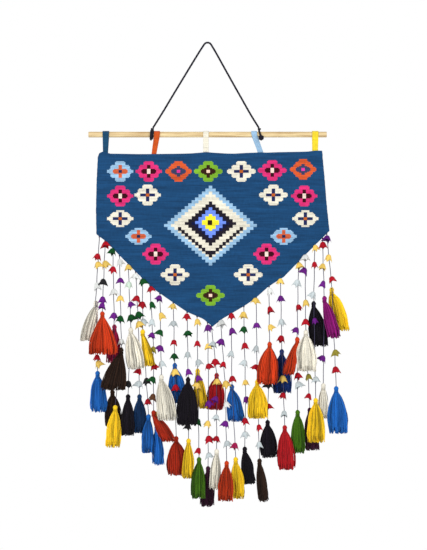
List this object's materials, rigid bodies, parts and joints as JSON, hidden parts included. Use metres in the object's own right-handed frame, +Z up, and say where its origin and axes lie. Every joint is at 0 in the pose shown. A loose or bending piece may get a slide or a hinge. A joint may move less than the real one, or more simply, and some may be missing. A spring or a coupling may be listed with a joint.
{
  "type": "woven wall rug on a dowel",
  "caption": "Five-sided flat-woven wall rug on a wooden dowel, with a hanging cord and strings of cloth petals and yarn tassels along its pointed lower edge.",
  "frame": {"origin": "where the top of the hanging cord rests on its nail", "axes": "+X to the right as seen from the front, +Y away from the viewer to the wall, +Z up"},
  "size_m": [0.569, 0.0678, 0.9777],
  "materials": {
    "blue_cloth": "flat woven wool",
    "wood": "bare sanded",
    "navy_cord": "twisted",
    "grey_string": "twisted",
    "cream": "yarn",
    "orange": "yarn",
    "magenta": "yarn",
    "brown": "yarn",
    "yellow": "yarn",
    "blue": "yarn",
    "black": "yarn",
    "red": "yarn",
    "navy": "yarn",
    "purple": "yarn",
    "plum": "yarn",
    "teal": "yarn",
    "green": "yarn",
    "sky": "flat woven wool"
  },
  "bodies": {
    "root": {"dowel": "wood", "tab_1": "blue_cloth", "tab_2": "orange", "tab_3": "cream", "tab_4": "sky", "tab_5": "yellow", "woven_panel": "blue_cloth", "fringe_left": "grey_string", "fringe_right": "grey_string", "hanger_cord": "navy_cord", "knot_left": "navy_cord", "knot_right": "navy_cord", "tassel_a_back": "cream", "tassel_c_back": "magenta", "tassel_d_front": "brown", "tassel_e_front": "cream", "tassel_g_front": "yellow", "tassel_i_front": "cream", "tassel_j_back": "blue", "tassel_k_front": "black", "tassel_l_back": "yellow", "tassel_n_back": "red", "tassel_p_back": "blue", "tassel_r_front": "yellow", "tassel_s_front": "orange", "tassel_t_back": "navy", "tassel_u_front": "orange", "tassel_v_front": "cream", "tassel_w_back": "black", "tassel_x_front": "purple", "tassel_y_back": "yellow", "tassel_a_end": "blue", "tassel_b_end": "orange", "tassel_c_end": "brown", "tassel_d_end": "yellow", "tassel_e_end": "black", "tassel_f_end": "teal", "tassel_g_end": "blue", "tassel_h_end": "orange", "tassel_i_end": "blue", "tassel_j_end": "red", "tassel_k_end": "yellow", "tassel_l_end": "green", "tassel_m_end": "plum", "tassel_n_end": "cream", "tassel_o_end": "orange", "tassel_p_end": "yellow", "tassel_q_end": "black", "tassel_r_end": "brown", "tassel_s_end": "black", "tassel_t_end": "red", "tassel_u_end": "green", "tassel_v_end": "plum", "tassel_w_end": "yellow", "tassel_x_end": "cream", "tassel_y_end": "blue"}
  },
  "joints": []
}
